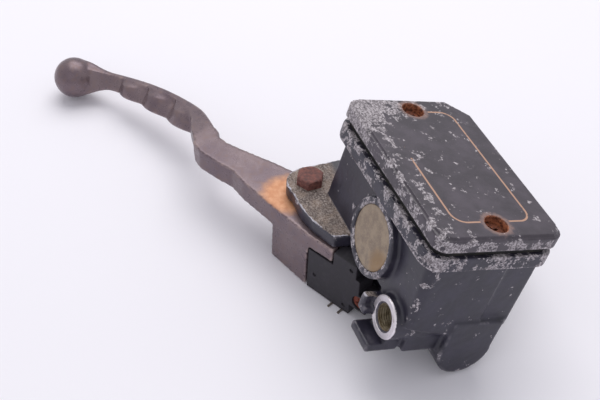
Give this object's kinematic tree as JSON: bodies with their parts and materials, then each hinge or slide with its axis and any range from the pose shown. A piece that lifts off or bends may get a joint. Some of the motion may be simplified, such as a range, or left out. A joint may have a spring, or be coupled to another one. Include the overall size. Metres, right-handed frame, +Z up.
{
  "type": "motorcycle front brake master cylinder",
  "caption": "Handlebar brake master cylinder with a leaning rectangular fluid reservoir, round level windows, hydraulic piston, banjo port, brake light switch and finger lever.",
  "frame": {"origin": "middle of the handlebar clamp's bore", "axes": "+X along the handlebar towards its outer end, +Y forward, away from the rider, +Z up along the lever's pivot bolt"},
  "size_m": [0.2242, 0.1561, 0.0768],
  "materials": {
    "black_paint": "satin black paint over cast aluminium, chipped and corroded along the edges",
    "cap_paint": "satin black paint with grey corrosion and a thin gold frame line",
    "lever_metal": "worn bronze-grey anodised aluminium with rust stain near the pivot",
    "rusty_steel": "rusted steel",
    "zinc_steel": "zinc-plated steel, dull",
    "bright_aluminium": "machined",
    "rubber": "matt",
    "window": "aged clear plastic, yellowed and scuffed",
    "switch_plastic": "matt black moulded plastic",
    "white_plastic": "natural nylon",
    "brass": "dull"
  },
  "bodies": {
    "body": {"body": "black_paint", "reservoir_cap": "cap_paint", "cap_screws": "rusty_steel", "diaphragm_plate": "zinc_steel", "diaphragm": "rubber", "splash_plate": "zinc_steel", "front_window": "window", "rear_window": "window", "window_seals": "rubber", "return_spring": "zinc_steel", "stop_washer": "zinc_steel", "circlip": "zinc_steel", "dust_boot": "rubber", "pivot_bush": "brass", "pivot_bolt": "rusty_steel", "pivot_lock_nut": "zinc_steel", "switch_housing": "switch_plastic", "plunger_spring": "zinc_steel", "switch_terminals": "brass", "switch_screw": "rusty_steel", "handlebar_clamp": "black_paint", "clamp_bolts": "zinc_steel", "clamp_washers": "zinc_steel"},
    "lever": {"lever": "lever_metal"},
    "piston": {"piston": "bright_aluminium", "primary_cup": "rubber", "secondary_cup": "rubber"},
    "plunger": {"switch_plunger": "white_plastic"}
  },
  "joints": [
    {"name": "lever_pivot", "type": "hinge", "parent": "body", "child": "lever", "pos_m": [0.027, 0.0607, 0], "axis": [0, 0, -1], "range_deg": [0, 16], "stiffness_Nm_per_rad": 0.6, "springref_deg": -17.19},
    {"name": "piston_slide", "type": "slide", "parent": "body", "child": "piston", "axis": [-1, 0, 0], "range_m": [0, 0.0082], "deforming": ["return_spring", "dust_boot"]},
    {"name": "plunger_slide", "type": "slide", "parent": "body", "child": "plunger", "axis": [-0.454, 0.891, 0], "range_m": [0, 0.0025], "deforming": ["plunger_spring"]}
  ],
  "couplings": [
    {"joint": "piston_slide", "follows": "lever_pivot", "m_per_rad": 0.0288},
    {"joint": "plunger_slide", "follows": "lever_pivot", "m_per_rad": 0.0085}
  ]
}
